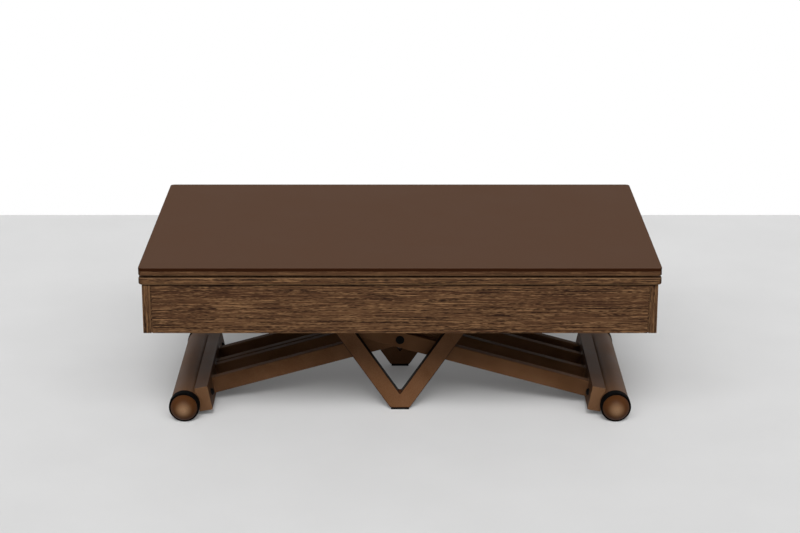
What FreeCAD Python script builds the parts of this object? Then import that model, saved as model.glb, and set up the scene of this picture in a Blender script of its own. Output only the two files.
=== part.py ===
import FreeCAD, Part
import math
import os
import re
import Sketcher

# A coffee table whose scissor legs raise it to dining height and whose top slides and unfolds like a
# book. Millimetres, +Z up, X along the length, the front towards -Y, the origin on the floor under the
# middle of the top. The table is drawn low and folded.

# Driving sizes, by the piece that carries them
SIZES = {
    # folded top
    "top_length": 1200,
    "top_depth": 700,
    "top_height": 427,
    "plan_corner": 10,
    "sheet_thickness": 7.8,
    "sheet_arris": 0.8,
    "board_thickness": 10.4,
    "leaf_gap": 4.2,
    "leaf_thickness": 18.2,
    "leaf_round": 4,
    "board_round": 1.5,
    # book hinges on the rear edges of the leaves
    "hinge_length": 70,
    "hinge_pitch": 420,
    "hinge_flange": 8,
    "hinge_plate": 1.6,
    "knuckle_radius": 3.4,
    "knuckle_clearance": 0.4,
    "pin_radius": 1.5,
    "edge_clearance": 0.3,
    # apron box
    "overhang": 7,
    "apron_height": 116.5,
    "apron_board": 19,
    "reveal": 3,
    "apron_arris": 1,
    "edge_groove": 1.6,
    "edge_groove_depth": 1.5,
    "edge_groove_inset": 14.5,
    "block_side": 45,
    "block_height": 24,
    "glide_thickness": 2.7,
    "glide_width": 13,
    "glide_clearance": 0.3,
    # runners that the lower leaf slides on
    "channel_width": 26,
    "channel_height": 24,
    "channel_wall": 2.5,
    "channel_slot": 10,
    "channel_drop": 10,
    "runner_margin": 7.7,
    "runner_web": 6,
    "runner_head": 4,
    "slide_clearance": 0.5,
    # feet
    "shaft_inset": 56.5,
    "axle_radius": 8,
    "wheel_radius": 36.5,
    "wheel_width": 22,
    "wheel_face": 232,
    "tyre_depth": 6.5,
    "tyre_round": 2.2,
    "cap_radius": 32,
    "cap_height": 20,
    "cap_rim": 1.5,
    "tube_radius": 35,
    "tube_wall": 2.5,
    "tube_gap": 1.5,
    "bearing_length": 20,
    "running_clearance": 0.05,
    # crossbars welded beside the foot tubes
    "crossbar_width": 32,
    "crossbar_height": 60,
    "crossbar_wall": 3,
    "crossbar_length": 392,
    "crossbar_offset": 44.5,
    "crossbar_round": 1.2,
    "crossbar_angle": 11,
    "foot_bolt_radius": 8.5,
    "foot_bolt_height": 6,
    "foot_bolt_gap": 17,
    # scissor legs
    "leg_clearance": 16.8,
    "leg_drop": 8.1,
    "leg_height": 40,
    "leg_thickness": 20,
    "leg_wall": 2,
    "leg_round": 2,
    "leg_eye": 36,
    "leg_gap": 2,
    "outer_leg_plane": 123,
    "inner_leg_plane": 36,
    "third_leg_plane": 11,
    "end_bush_radius": 11,
    "pivot_radius": 6,
    "pivot_bush_radius": 9,
    "pivot_head_radius": 10.4,
    "pivot_head_height": 2.4,
    "spacer_radius": 12,
    "spacer_clearance": 0.1,
    # upper shafts, shoes and the rails that they slide in
    "shaft_radius": 8,
    "shoe_length": 50,
    "rail_face": 169,
    "rail_depth": 30,
    "rail_height": 36,
    "rail_wall": 3,
    "rail_end_gap": 0.5,
    "angle_leg": 40,
    "angle_inset": 4,
    # V feet
    "pad_thickness": 5,
    "pad_width": 44,
    "pad_depth": 16,
    "v_thickness": 20,
    "v_gap": 3,
    "v_base_width": 48,
    "v_arm_width": 40.5,
    "v_angle": 55.6,
    "v_inner_round": 1.5,
    "v_edge_round": 2.2,
    "v_corner_round": 5,
    "bracket_plate": 3,
    "bracket_drop": 40,
    "bracket_length": 62,
    "v_bolt_radius": 4,
    "v_bolt_head": 7,
    "v_bolt_height": 5,
    "v_bolt_drop": 12,
    "v_bolt_pitch": 16,
    # gas spring between the upper shafts, and its release lever
    "spring_slot": 26,
    "spring_radius": 10,
    "spring_wall": 1.5,
    "spring_length": 420,
    "spring_plug": 16,
    "gland_length": 12,
    "eye_radius": 13,
    "eye_width": 14,
    "eye_reach": 26,
    "neck_radius": 6,
    "sleeve_radius": 8,
    "spring_stroke": 183,
    "rod_radius": 5,
    "piston_length": 18,
    "lever_plate": 5,
    "lever_width": 16,
    "lever_eye_radius": 14,
    "lever_drop": 34,
    "lever_gap": 36,
    "grip_radius": 6,
    "grip_length": 36,
    # how far a cut runs past the solid that it cuts
    "overrun": 5,
}

# Places and sizes that follow from the driving ones
DERIVED = {
    "half_length": "top_length / 2",
    "half_depth": "top_depth / 2",
    "sheet_bottom": "top_height - sheet_thickness",
    "board_bottom": "sheet_bottom - board_thickness",
    "leaf_top": "board_bottom - leaf_gap",
    "leaf_bottom": "leaf_top - leaf_thickness",
    "fold_level": "board_bottom - leaf_gap / 2",
    "fold_line": "half_depth - knuckle_radius",
    "leaf_rear": "fold_line - edge_clearance",
    "hinge_seat": "knuckle_radius + knuckle_clearance",
    "knuckle_root": "sqrt(knuckle_radius ^ 2 - (hinge_seat - hinge_plate) ^ 2)",
    "notch_line": "fold_line - hinge_seat",
    "apron_top": "leaf_bottom - glide_clearance - glide_thickness",
    "apron_bottom": "apron_top - apron_height",
    "apron_middle": "apron_bottom + apron_height / 2",
    "apron_end": "half_length - overhang",
    "apron_face": "half_depth - overhang",
    "inner_end": "apron_end - apron_board",
    "inner_face": "apron_face - apron_board",
    "channel_top": "leaf_bottom - channel_drop",
    "channel_bottom": "channel_top - channel_height",
    "channel_line": "inner_end - channel_width / 2",
    "runner_length": "2 * (inner_face - fold_line / 2 - runner_margin)",
    "runner_foot": "channel_width / 2 - channel_wall - slide_clearance",
    "axle_reach": "inner_end - shaft_inset",
    "shaft_height": "channel_bottom - leg_clearance - leg_height / 2",
    "pivot_height": "(shaft_height + wheel_radius - leg_drop) / 2",
    "rise": "pivot_height - wheel_radius + leg_drop",
    "rest_tilt": "atan(rise / axle_reach)",
    "leg_half": "sqrt(axle_reach * axle_reach + rise * rise)",
    "foot_tilt": "crossbar_angle * 1 deg",
    "leg_start": "crossbar_offset + crossbar_width / 2",
    "leg_foot": "(leg_start + leg_drop * sin(foot_tilt)) / cos(rest_tilt - foot_tilt)",
    "leg_slant": "leg_height / 2 * tan(rest_tilt - foot_tilt)",
    "leg_pitch": "leg_thickness + leg_gap",
    "outer_leg_face": "outer_leg_plane + leg_thickness / 2",
    "spring_line": "third_leg_plane + leg_thickness / 2 + spring_slot / 2",
    "fourth_leg_plane": "third_leg_plane + leg_thickness + spring_slot",
    "wheel_back": "wheel_face - wheel_width",
    "hub_radius": "wheel_radius - tyre_depth",
    "tube_end": "wheel_back - tube_gap",
    "cap_tip": "wheel_face + cap_rim + cap_height",
    "cap_dome": "(cap_radius * cap_radius + cap_height * cap_height) / (2 * cap_height)",
    "foot_bolt_plane": "outer_leg_face + foot_bolt_gap + foot_bolt_radius",
    "rail_bottom": "shaft_height - rail_height / 2",
    "rail_back": "rail_face + rail_depth",
    "rail_end": "inner_end - rail_end_gap",
    "shoe_height": "rail_height - 2 * rail_wall - 2 * slide_clearance",
    "shoe_back": "rail_back - rail_wall - slide_clearance",
    "shaft_end": "shoe_back - slide_clearance",
    "v_back": "outer_leg_face + v_gap",
    "v_face": "v_back + v_thickness",
    "v_lean": "1 / tan(v_angle * 1 deg)",
    "v_arm_run": "v_arm_width / sin(v_angle * 1 deg)",
    "v_top": "rail_bottom - bracket_plate",
    "v_top_outer": "v_base_width / 2 + (v_top - pad_thickness) * v_lean",
    "v_top_inner": "v_top_outer - v_arm_run",
    "v_apex": "pad_thickness + (v_arm_run - v_base_width / 2) / v_lean",
    "v_bolt_upper": "v_top - v_bolt_drop",
    "v_bolt_lower": "v_bolt_upper - v_bolt_pitch",
    "v_bolt_upper_line": "v_top_outer - v_arm_run / 2 - v_bolt_drop * v_lean",
    "v_bolt_lower_line": "v_bolt_upper_line - v_bolt_pitch * v_lean",
    "bracket_line": "(v_bolt_upper_line + v_bolt_lower_line) / 2",
    "bracket_face": "v_face + bracket_plate",
    "spring_bore": "spring_radius - spring_wall",
    "spring_end": "eye_reach + spring_length",
    "spring_mouth": "2 * axle_reach - spring_end",
    "sleeve_end": "spring_mouth - spring_stroke",
    "piston_start": "spring_mouth + gland_length + slide_clearance",
    "lever_line": "spring_line + lever_gap",
}

doc = FreeCAD.newDocument("convertible_table")
sheet = doc.addObject("Spreadsheet::Sheet", "sizes")
row = 0
for alias, value in SIZES.items():
    row += 1
    sheet.set("A%d" % row, str(value))
    sheet.setAlias("A%d" % row, alias)
for alias, formula in DERIVED.items():
    row += 1
    sheet.set("A%d" % row, "=" + formula)
    sheet.setAlias("A%d" % row, alias)
doc.recompute()

ALIASES = re.compile(r"\b(%s)\b" % "|".join(list(SIZES) + list(DERIVED)))
nodes = []

# How near two places count as one, and how well two directions agree
TOUCHING = 1e-6
ALIGNED_SHARE = 0.999


def cells(formula):
    """The formula with each size written as a cell of the sheet."""
    return ALIASES.sub(r"sizes.\1", str(formula))


def number(formula):
    """The formula's value at the sizes now in the sheet."""
    value = sheet.evalExpression(cells(formula))
    return float(getattr(value, "Value", value))


def new_piece(name):
    """A body that is one sub-part, or a group of like ones."""
    piece = doc.addObject("PartDesign::Body", name)
    piece.Label = name
    nodes.append(piece)
    return piece


def place(piece, x="0", y="0", z="0", turn=None, axis=(0, 1, 0)):
    """Sets where a piece stands, and how far it is turned about an axis."""
    if turn is not None:
        piece.Placement = FreeCAD.Placement(FreeCAD.Vector(), FreeCAD.Rotation(FreeCAD.Vector(*axis), 1))
        piece.setExpression("Placement.Rotation.Angle", cells(turn))
    for letter, formula in (("x", x), ("y", y), ("z", z)):
        piece.setExpression("Placement.Base." + letter, cells(formula))


def arc_between(start, end, radius, side):
    """The shorter arc from start to end, with its centre to the left (1) or the right (-1)."""
    chord = end.sub(start)
    middle = (start + end) * 0.5
    height = math.sqrt(max(radius ** 2 - (chord.Length / 2) ** 2, 0))
    across = FreeCAD.Vector(-chord.y, chord.x, 0).normalize()
    centre = middle + across * (side * height)
    through = middle - centre
    if through.Length < TOUCHING:
        through = across * -side
    through.normalize()
    return Part.Arc(start, centre + through * radius, end)


def sketch_on(piece, plane, loops):
    """A sketch on one of the body's own planes. A loop is a circle ("circle", x, y, radius), or a list
    of corners (x, y), where (x, y, radius, side) starts an arc. Every corner is held by the sheet."""
    sketch = piece.newObject("Sketcher::SketchObject", piece.Name + "_sketch")
    support = [feature for feature in piece.Origin.OriginFeatures if feature.Role == plane]
    sketch.AttachmentSupport = [(support[0], "")]
    sketch.MapMode = "FlatFace"

    def hold(kind, geometry, point, formula):
        index = sketch.addConstraint(Sketcher.Constraint(kind, -1, 1, geometry, point, number(formula)))
        sketch.setExpression("Constraints[%d]" % index, cells(formula))

    def hold_radius(geometry, formula):
        index = sketch.addConstraint(Sketcher.Constraint("Radius", geometry, number(formula)))
        sketch.setExpression("Constraints[%d]" % index, cells(formula))

    for loop in loops:
        if loop[0] == "circle":
            centre = FreeCAD.Vector(number(loop[1]), number(loop[2]), 0)
            circle = Part.Circle(centre, FreeCAD.Vector(0, 0, 1), number(loop[3]))
            index = sketch.addGeometry(circle, False)
            hold("DistanceX", index, 3, loop[1])
            hold("DistanceY", index, 3, loop[2])
            hold_radius(index, loop[3])
            continue
        corners = [FreeCAD.Vector(number(corner[0]), number(corner[1]), 0) for corner in loop]
        first = sketch.GeometryCount
        starts = []
        ends = []
        for step, corner in enumerate(loop):
            start = corners[step]
            end = corners[(step + 1) % len(loop)]
            if len(corner) == 2:
                sketch.addGeometry(Part.LineSegment(start, end), False)
                starts.append(1)
                ends.append(2)
                continue
            arc = arc_between(start, end, number(corner[2]), corner[3])
            index = sketch.addGeometry(arc, False)
            near, far = sketch.getPoint(index, 1), sketch.getPoint(index, 2)
            opens = near.distanceToPoint(start) < far.distanceToPoint(start)
            starts.append(1 if opens else 2)
            ends.append(2 if opens else 1)
        for step, corner in enumerate(loop):
            following = (step + 1) % len(loop)
            sketch.addConstraint(Sketcher.Constraint("Coincident", first + step, ends[step],
                                                     first + following, starts[following]))
            hold("DistanceX", first + step, starts[step], corner[0])
            hold("DistanceY", first + step, starts[step], corner[1])
            chord = (corners[following] - corners[step]).Length
            half_circle = len(corner) == 4 and abs(number(corner[2]) * 2 - chord) < TOUCHING
            if len(corner) == 4 and not half_circle:
                hold_radius(first + step, corner[2])
    return sketch


def rectangle(left, low, right, high):
    """Four corners, counter-clockwise."""
    return [(left, low), (right, low), (right, high), (left, high)]


def pad(piece, plane, loops, length, offset=None):
    """Pads the loops both ways from the plane, or one way from an offset."""
    feature = piece.newObject("PartDesign::Pad", piece.Name + "_pad")
    feature.Profile = sketch_on(piece, plane, loops)
    feature.setExpression("Length", cells(length))
    if offset is None:
        feature.SideType = "Symmetric"
    else:
        feature.Profile[0].setExpression("AttachmentOffset.Base.z", cells(offset))
    doc.recompute()
    return feature


def pocket(piece, plane, loops, length, offset=None, backwards=False):
    """Cuts the loops both ways from the plane, or one way from an offset, and checks that it cut."""
    before = piece.Shape.Volume
    feature = piece.newObject("PartDesign::Pocket", piece.Name + "_pocket")
    feature.Profile = sketch_on(piece, plane, loops)
    feature.setExpression("Length", cells(length))
    if offset is None:
        feature.SideType = "Symmetric"
    else:
        feature.Profile[0].setExpression("AttachmentOffset.Base.z", cells(offset))
        feature.Reversed = backwards
    doc.recompute()
    if piece.Shape.Volume >= before:
        raise RuntimeError(piece.Label + ": a pocket cut nothing")
    return feature


def revolve(piece, plane, loops, line):
    """Turns the loops about the sketch's own horizontal (H_Axis) or vertical (V_Axis) line."""
    feature = piece.newObject("PartDesign::Revolution", piece.Name + "_turn")
    sketch = sketch_on(piece, plane, loops)
    feature.Profile = sketch
    feature.ReferenceAxis = (sketch, [line])
    doc.recompute()
    return feature


def round_edges(piece, radius, wanted):
    """Rounds the edges of the last feature that the test picks."""
    base = piece.Tip
    names = ["Edge%d" % (i + 1) for i, edge in enumerate(base.Shape.Edges) if wanted(edge)]
    feature = piece.newObject("PartDesign::Fillet", piece.Name + "_round")
    feature.Base = (base, names)
    feature.setExpression("Radius", cells(radius))
    doc.recompute()
    return feature


def straight_along(edge, x, y, z):
    """Whether an edge is a straight one in the given direction."""
    if not isinstance(edge.Curve, Part.Line):
        return False
    return abs(edge.Curve.Direction.dot(FreeCAD.Vector(x, y, z))) > ALIGNED_SHARE


def at_height(edge, formula):
    """Whether an edge lies level at the given height."""
    box = edge.BoundBox
    return max(abs(box.ZMin - number(formula)), abs(box.ZMax - number(formula))) < TOUCHING


def both(loop):
    """The loop, and its mirror image across the sketch's horizontal line."""
    other = [(x, "-(%s)" % y) + tuple([rest[0], -rest[1]] if rest else []) for x, y, *rest in loop]
    return [loop, other]


# Feet: an axle through the foot tube, with a hub, a tyre and a domed cap at each end
HUB = rectangle("axle_radius", "wheel_back", "hub_radius", "wheel_face")
TYRE = [("hub_radius", "wheel_back"), ("wheel_radius - tyre_round", "wheel_back", "tyre_round", 1),
        ("wheel_radius", "wheel_back + tyre_round"),
        ("wheel_radius", "wheel_face - tyre_round", "tyre_round", 1),
        ("wheel_radius - tyre_round", "wheel_face"), ("hub_radius", "wheel_face")]
CAP = [("0", "wheel_face"), ("cap_radius", "wheel_face"),
       ("cap_radius", "wheel_face + cap_rim", "cap_dome", 1), ("0", "cap_tip")]
BEARING = rectangle("axle_radius + running_clearance", "tube_end - bearing_length",
                    "tube_radius - tube_wall", "tube_end")
CROSSBAR = rectangle("crossbar_offset - crossbar_width / 2", "-crossbar_height / 2",
                     "crossbar_offset + crossbar_width / 2", "crossbar_height / 2")
CROSSBAR_BORE = rectangle("crossbar_offset - crossbar_width / 2 + crossbar_wall",
                          "-crossbar_height / 2 + crossbar_wall",
                          "crossbar_offset + crossbar_width / 2 - crossbar_wall",
                          "crossbar_height / 2 - crossbar_wall")

# The legs of each foot, by the plane that each lies in, from front to back
LEG_PLANES = {
    "left": ["-(outer_leg_plane - leg_pitch)", "-(inner_leg_plane - leg_pitch)", "third_leg_plane",
             "outer_leg_plane - leg_pitch"],
    "right": ["-outer_leg_plane", "-inner_leg_plane", "fourth_leg_plane", "outer_leg_plane"],
}
# Each foot: where its axle is, how its crossbar and its legs are turned, and which way up its legs lie
SIDES = {
    "left": ("-axle_reach", "0 deg - foot_tilt", "0 deg - rest_tilt", "1"),
    "right": ("axle_reach", "180 deg + foot_tilt", "180 deg + rest_tilt", "-1"),
}
LEG_PIVOTS = {"left": "pivot_radius", "right": "pivot_bush_radius"}


def far_edge(edge):
    """Whether an edge is a long one of the crossbar, on the side where the legs meet it."""
    return straight_along(edge, 0, 1, 0) and abs(edge.BoundBox.XMin - number("leg_start")) < TOUCHING


for side, (axle_x, foot_turn, leg_turn, up) in SIDES.items():
    axle = new_piece(side + "_axle")
    revolve(axle, "XY_Plane", [rectangle("0", "-wheel_face", "axle_radius", "wheel_face")], "V_Axis")
    place(axle, axle_x, "0", "wheel_radius")

    for name, profile in (("_hubs", HUB), ("_tyres", TYRE), ("_caps", CAP)):
        pair = new_piece(side + name)
        revolve(pair, "XY_Plane", both(profile), "V_Axis")
        place(pair, axle_x, "0", "wheel_radius")

    tube = new_piece(side + "_foot_tube")
    pad(tube, "XZ_Plane", [("circle", "0", "0", "tube_radius"),
                           ("circle", "0", "0", "tube_radius - tube_wall")], "2 * tube_end")
    place(tube, axle_x, "0", "wheel_radius", foot_turn)

    bearings = new_piece(side + "_tube_bearings")
    revolve(bearings, "XY_Plane", both(BEARING), "V_Axis")
    place(bearings, axle_x, "0", "wheel_radius", foot_turn)

    # The crossbar is a box tube, coped round the foot tube that it is welded to
    crossbar = new_piece(side + "_crossbar")
    pad(crossbar, "XZ_Plane", [CROSSBAR, CROSSBAR_BORE], "crossbar_length")
    round_edges(crossbar, "crossbar_round", far_edge)
    pocket(crossbar, "XZ_Plane", [("circle", "0", "0", "tube_radius")], "crossbar_length + overrun")
    place(crossbar, axle_x, "0", "wheel_radius", foot_turn)

    plates = new_piece(side + "_crossbar_plates")
    pad(plates, "XZ_Plane", [CROSSBAR], "crossbar_length + 2 * crossbar_wall")
    round_edges(plates, "crossbar_round", far_edge)
    pocket(plates, "XZ_Plane", [rectangle("0", "-crossbar_height", "2 * crossbar_offset",
                                          "crossbar_height")], "crossbar_length")
    pocket(plates, "XZ_Plane", [("circle", "0", "0", "tube_radius")],
           "crossbar_length + 2 * crossbar_wall + overrun")
    place(plates, axle_x, "0", "wheel_radius", foot_turn)

    bolts = new_piece(side + "_foot_bolts")
    pad(bolts, "YZ_Plane", [("circle", "-foot_bolt_plane", "0", "foot_bolt_radius"),
                            ("circle", "foot_bolt_plane", "0", "foot_bolt_radius")],
        "foot_bolt_height", "leg_start")
    place(bolts, axle_x, "0", "wheel_radius", foot_turn)

    # Each leg is a flat box tube from the crossbar, to which its end is cut, to a solid rounded eye on
    # the upper shaft; its line passes a little below the axle
    leg_end = "2 * leg_half"
    for count, plane in enumerate(LEG_PLANES[side]):
        leg = new_piece("%s_leg_%d" % (side, count + 1))
        outline = [("leg_foot - %s * leg_slant" % up, "-leg_height / 2"),
                   (leg_end, "-leg_height / 2", "leg_height / 2", 1), (leg_end, "leg_height / 2"),
                   ("leg_foot + %s * leg_slant" % up, "leg_height / 2")]
        pad(leg, "XZ_Plane", [outline, ("circle", "leg_half", "0", LEG_PIVOTS[side]),
                              ("circle", leg_end, "0", "end_bush_radius")], "leg_thickness")
        round_edges(leg, "leg_round", lambda edge: straight_along(edge, 1, 0, 0))
        pocket(leg, "YZ_Plane", [rectangle("-leg_thickness / 2 + leg_wall", "-leg_height / 2 + leg_wall",
                                           "leg_thickness / 2 - leg_wall", "leg_height / 2 - leg_wall")],
               leg_end + " - leg_eye - leg_start + overrun", "leg_start - overrun", True)
        place(leg, axle_x, plane, "wheel_radius - leg_drop", leg_turn)

    bushes = new_piece(side + "_leg_bushes")
    ring = []
    for plane in LEG_PLANES[side]:
        ring.append(rectangle("shaft_radius + running_clearance", plane + " - leg_thickness / 2",
                              "end_bush_radius", plane + " + leg_thickness / 2"))
    revolve(bushes, "XY_Plane", ring, "V_Axis")
    place(bushes, "-(%s)" % axle_x, "0", "shaft_height")

# Scissor pivot: one shaft with low round heads, fast in the left legs, turning in the right legs' bushes
pivot = new_piece("pivot_shaft")
head = "outer_leg_face + spacer_clearance"
revolve(pivot, "XY_Plane", [[("0", "-(%s) - pivot_head_height" % head),
                             ("pivot_head_radius", "-(%s) - pivot_head_height" % head),
                             ("pivot_head_radius", "-(%s)" % head), ("pivot_radius", "-(%s)" % head),
                             ("pivot_radius", head), ("pivot_head_radius", head),
                             ("pivot_head_radius", head + " + pivot_head_height"),
                             ("0", head + " + pivot_head_height")]], "V_Axis")
place(pivot, "0", "0", "pivot_height")

pivot_bushes = new_piece("pivot_bushes")
rings = []
for plane in LEG_PLANES["right"]:
    rings.append(rectangle("pivot_radius + running_clearance", plane + " - leg_thickness / 2",
                           "pivot_bush_radius", plane + " + leg_thickness / 2"))
revolve(pivot_bushes, "XY_Plane", rings, "V_Axis")
place(pivot_bushes, "0", "0", "pivot_height")

spacers = new_piece("pivot_spacers")
SPACED = [("-outer_leg_plane", "-(outer_leg_plane - leg_pitch)"),
          ("-inner_leg_plane", "-(inner_leg_plane - leg_pitch)"), ("third_leg_plane", "fourth_leg_plane"),
          ("outer_leg_plane - leg_pitch", "outer_leg_plane")]
rings = []
for front, back in SPACED:
    rings.append(rectangle("pivot_radius", front + " + leg_thickness / 2 + spacer_clearance",
                           "spacer_radius", back + " - leg_thickness / 2 - spacer_clearance"))
revolve(spacers, "XY_Plane", rings, "V_Axis")
place(spacers, "0", "0", "pivot_height")

# Upper shafts, each carried by two shoes that slide in the rails
for side, shaft_x in (("left", "-axle_reach"), ("right", "axle_reach")):
    shaft = new_piece(side + "_upper_shaft")
    revolve(shaft, "XY_Plane", [rectangle("0", "-shaft_end", "shaft_radius", "shaft_end")], "V_Axis")
    place(shaft, shaft_x, "0", "shaft_height")

    shoes = new_piece(side + "_shoes")
    pad(shoes, "XY_Plane", [rectangle("-shoe_length / 2", "rail_face", "shoe_length / 2", "shoe_back"),
                            rectangle("-shoe_length / 2", "-shoe_back", "shoe_length / 2", "-rail_face")],
        "shoe_height")
    pocket(shoes, "XZ_Plane", [("circle", "0", "0", "shaft_radius")], "2 * shaft_end")
    place(shoes, shaft_x, "0", "shaft_height")

# Gas spring: the cylinder hangs on the right shaft, the rod and its sleeve on the left one
cylinder = new_piece("gas_spring_cylinder")
section = [("-eye_reach", "0"), ("-eye_reach", "spring_radius"), ("-spring_end", "spring_radius"),
           ("-spring_end", "rod_radius + slide_clearance"),
           ("-spring_end + gland_length", "rod_radius + slide_clearance"),
           ("-spring_end + gland_length", "spring_bore"), ("-eye_reach - spring_plug", "spring_bore"),
           ("-eye_reach - spring_plug", "0")]
revolve(cylinder, "XZ_Plane", [section], "H_Axis")
pad(cylinder, "YZ_Plane", [("circle", "0", "0", "neck_radius")], "eye_reach + overrun",
    "-eye_reach - overrun")
pad(cylinder, "XZ_Plane", [("circle", "0", "0", "eye_radius")], "eye_width")
pocket(cylinder, "XZ_Plane", [("circle", "0", "0", "shaft_radius")], "eye_width + overrun")
place(cylinder, "axle_reach", "spring_line", "shaft_height")

rod = new_piece("gas_spring_rod")
section = [("eye_reach", "0"), ("piston_start + piston_length", "0"),
           ("piston_start + piston_length", "spring_bore - slide_clearance"),
           ("piston_start", "spring_bore - slide_clearance"), ("piston_start", "rod_radius"),
           ("sleeve_end", "rod_radius"), ("sleeve_end", "sleeve_radius"), ("eye_reach", "sleeve_radius")]
revolve(rod, "XZ_Plane", [section], "H_Axis")
pad(rod, "YZ_Plane", [("circle", "0", "0", "neck_radius")], "eye_reach + overrun", "0")
pad(rod, "XZ_Plane", [("circle", "0", "0", "eye_radius")], "eye_width")
pocket(rod, "XZ_Plane", [("circle", "0", "0", "shaft_radius")], "eye_width + overrun")
place(rod, "-axle_reach", "spring_line", "shaft_height")

# Release lever, hanging on the right shaft beside the gas spring
lever = new_piece("release_lever")
pad(lever, "XZ_Plane", [("circle", "0", "0", "lever_eye_radius")], "lever_plate")
pad(lever, "XZ_Plane", [rectangle("-lever_width / 2", "-lever_drop", "lever_width / 2", "0")],
    "lever_plate")
pocket(lever, "XZ_Plane", [("circle", "0", "0", "shaft_radius + running_clearance")],
       "lever_plate + overrun")
pad(lever, "XZ_Plane", [("circle", "0", "-lever_drop", "grip_radius")], "grip_length")
place(lever, "axle_reach", "lever_line", "shaft_height")

# Aprons: the end boards run through, and the long boards stand between them behind a narrow reveal
for name, front in (("front_apron", "-1"), ("rear_apron", "1")):
    apron = new_piece(name)
    face = "-apron_board / 2"
    rebate = face + " + reveal"
    outline = [("-inner_end", rebate), ("-inner_end + reveal", rebate), ("-inner_end + reveal", face),
               ("inner_end - reveal", face), ("inner_end - reveal", rebate), ("inner_end", rebate),
               ("inner_end", "apron_board / 2"), ("-inner_end", "apron_board / 2")]
    pad(apron, "XY_Plane", [outline], "apron_height")
    round_edges(apron, "apron_arris", lambda edge: straight_along(edge, 1, 0, 0)
                and at_height(edge, "-apron_height / 2") and edge.BoundBox.YMax < 0)
    place(apron, "0", front + " * (apron_face - apron_board / 2)", "apron_middle",
          "90 deg + 90 deg * (%s)" % front, (0, 0, 1))

for name, end in (("left_apron", "-1"), ("right_apron", "1")):
    apron = new_piece(name)
    pad(apron, "XY_Plane", [rectangle("-apron_board / 2", "-apron_face", "apron_board / 2", "apron_face")],
        "apron_height")
    round_edges(apron, "apron_arris", lambda edge: at_height(edge, "-apron_height / 2")
                or straight_along(edge, 0, 0, 1))
    middle = "%s * (apron_board / 2 - edge_groove_inset)" % end
    groove = rectangle(middle + " - edge_groove / 2", "apron_face - edge_groove_depth",
                       middle + " + edge_groove / 2", "apron_face + overrun")
    pocket(apron, "XY_Plane", both(groove), "apron_height + overrun")
    place(apron, end + " * (apron_end - apron_board / 2)", "0", "apron_middle")

blocks = new_piece("corner_blocks")
loops = []
for end, front in (("-1", "-1"), ("1", "-1"), ("1", "1"), ("-1", "1")):
    loops.append([("%s * inner_end" % end, "%s * inner_face" % front),
                  ("%s * (inner_end - block_side)" % end, "%s * inner_face" % front),
                  ("%s * inner_end" % end, "%s * (inner_face - block_side)" % front)])
pad(blocks, "XY_Plane", loops, "block_height")
place(blocks, "0", "0", "channel_bottom - slide_clearance - block_height / 2")

glides = new_piece("glide_strips")
loops = []
for end in ("-1", "1"):
    middle = "%s * (apron_end - apron_board / 2)" % end
    loops.append(rectangle(middle + " - glide_width / 2", "-inner_face",
                           middle + " + glide_width / 2", "inner_face"))
pad(glides, "XY_Plane", loops, "glide_thickness")
place(glides, "0", "0", "apron_top + glide_thickness / 2")

# Rails: steel channels along the length, open towards each other, with an angle at each end
for name, front in (("front_rail", "0 deg"), ("rear_rail", "180 deg")):
    rail = new_piece(name)
    web = "-rail_back + rail_wall"
    floor = "-rail_height / 2 + rail_wall"
    roof = "rail_height / 2 - rail_wall"
    section = [("-rail_back", "-rail_height / 2"), ("-rail_face", "-rail_height / 2"),
               ("-rail_face", floor), (web, floor), (web, roof), ("-rail_face", roof),
               ("-rail_face", "rail_height / 2"), ("-rail_back", "rail_height / 2")]
    pad(rail, "YZ_Plane", [section], "2 * rail_end")
    place(rail, "0", "0", "shaft_height", front, (0, 0, 1))

angles = new_piece("rail_end_angles")
loops = []
for end, front in (("-1", "-1"), ("1", "-1"), ("1", "1"), ("-1", "1")):
    near = "%s * rail_back" % front
    loops.append([("%s * inner_end" % end, near), ("%s * (inner_end - angle_leg)" % end, near),
                  ("%s * (inner_end - angle_leg)" % end, "%s * (rail_back + rail_wall)" % front),
                  ("%s * (inner_end - rail_wall)" % end, "%s * (rail_back + rail_wall)" % front),
                  ("%s * (inner_end - rail_wall)" % end, "%s * (rail_back + angle_leg)" % front),
                  ("%s * inner_end" % end, "%s * (rail_back + angle_leg)" % front)])
pad(angles, "XY_Plane", loops, "rail_height - 2 * angle_inset")
place(angles, "0", "0", "shaft_height")

# V feet: flat steel plates bolted to the rails, which stand on pads when the table is low
V_BOLTS = []
for end in ("-1", "1"):
    for line, level in (("v_bolt_upper_line", "v_bolt_upper"), ("v_bolt_lower_line", "v_bolt_lower")):
        V_BOLTS.append(("%s * %s" % (end, line), level))
for name, front in (("front_v_foot", "-1"), ("rear_v_foot", "1")):
    foot = new_piece(name)
    outline = [("-v_base_width / 2", "pad_thickness"), ("v_base_width / 2", "pad_thickness"),
               ("v_top_outer", "v_top"), ("v_top_inner", "v_top"), ("0", "v_apex"),
               ("-v_top_inner", "v_top"), ("-v_top_outer", "v_top")]
    holes = [("circle", across, level, "v_bolt_radius") for across, level in V_BOLTS]
    pad(foot, "XZ_Plane", [outline] + holes, "v_thickness")
    for radius, level in (("v_corner_round", "pad_thickness"), ("v_inner_round", "v_apex")):
        round_edges(foot, radius, lambda edge: straight_along(edge, 0, 1, 0) and at_height(edge, level))
    round_edges(foot, "v_edge_round", lambda edge: edge.BoundBox.YLength < TOUCHING and not edge.isClosed()
                and not at_height(edge, "v_top"))
    place(foot, "0", "%s * (v_back + v_thickness / 2)" % front, "0")

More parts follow.
